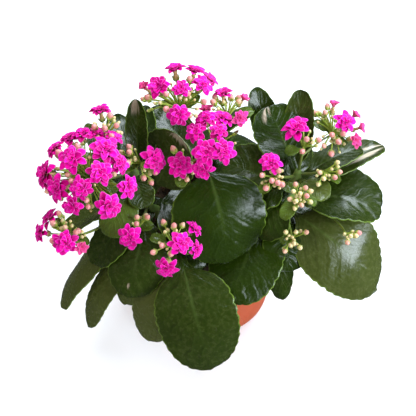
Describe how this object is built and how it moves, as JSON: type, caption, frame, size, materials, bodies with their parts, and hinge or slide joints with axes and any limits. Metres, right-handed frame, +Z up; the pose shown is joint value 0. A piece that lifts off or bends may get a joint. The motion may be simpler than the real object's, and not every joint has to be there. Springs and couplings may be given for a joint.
{
  "type": "potted kalanchoe",
  "caption": "Flowering succulent house plant with broad scalloped leaves and domed heads of small double flowers, rooted in soil in a tapered plastic pot.",
  "frame": {"origin": "middle of the flat underside of the pot", "axes": "+Z up through the pot's axis, -Y towards the side with the largest front leaf, +X to the right seen from there"},
  "size_m": [0.2352, 0.184, 0.2331],
  "materials": {
    "pot_plastic": "terracotta-coloured moulded plastic, satin",
    "peat_soil": "dark crumbly peat with small bark and perlite crumbs, matt",
    "leaf": "fleshy dark green leaf, glossy wax on its upper side, paler margin",
    "petal": "hot magenta petals, soft satin, yellow-green flower stalks and calyxes",
    "bud": "salmon and yellow-green closed buds on green stalks, satin"
  },
  "bodies": {
    "root": {"pot": "pot_plastic", "soil": "peat_soil", "leafy_stem_left": "leaf", "leafy_stem_centre": "leaf", "leafy_stem_right": "leaf", "flowers_left": "petal", "flowers_left_low": "petal", "flowers_inner_left": "petal", "flowers_front_left": "petal", "flowers_centre": "petal", "flowers_front": "petal", "flowers_right": "petal", "flowers_inner_right": "petal", "buds_right": "bud", "buds_middle": "bud", "buds_right_low": "bud", "buds_front_right": "bud"}
  },
  "joints": []
}
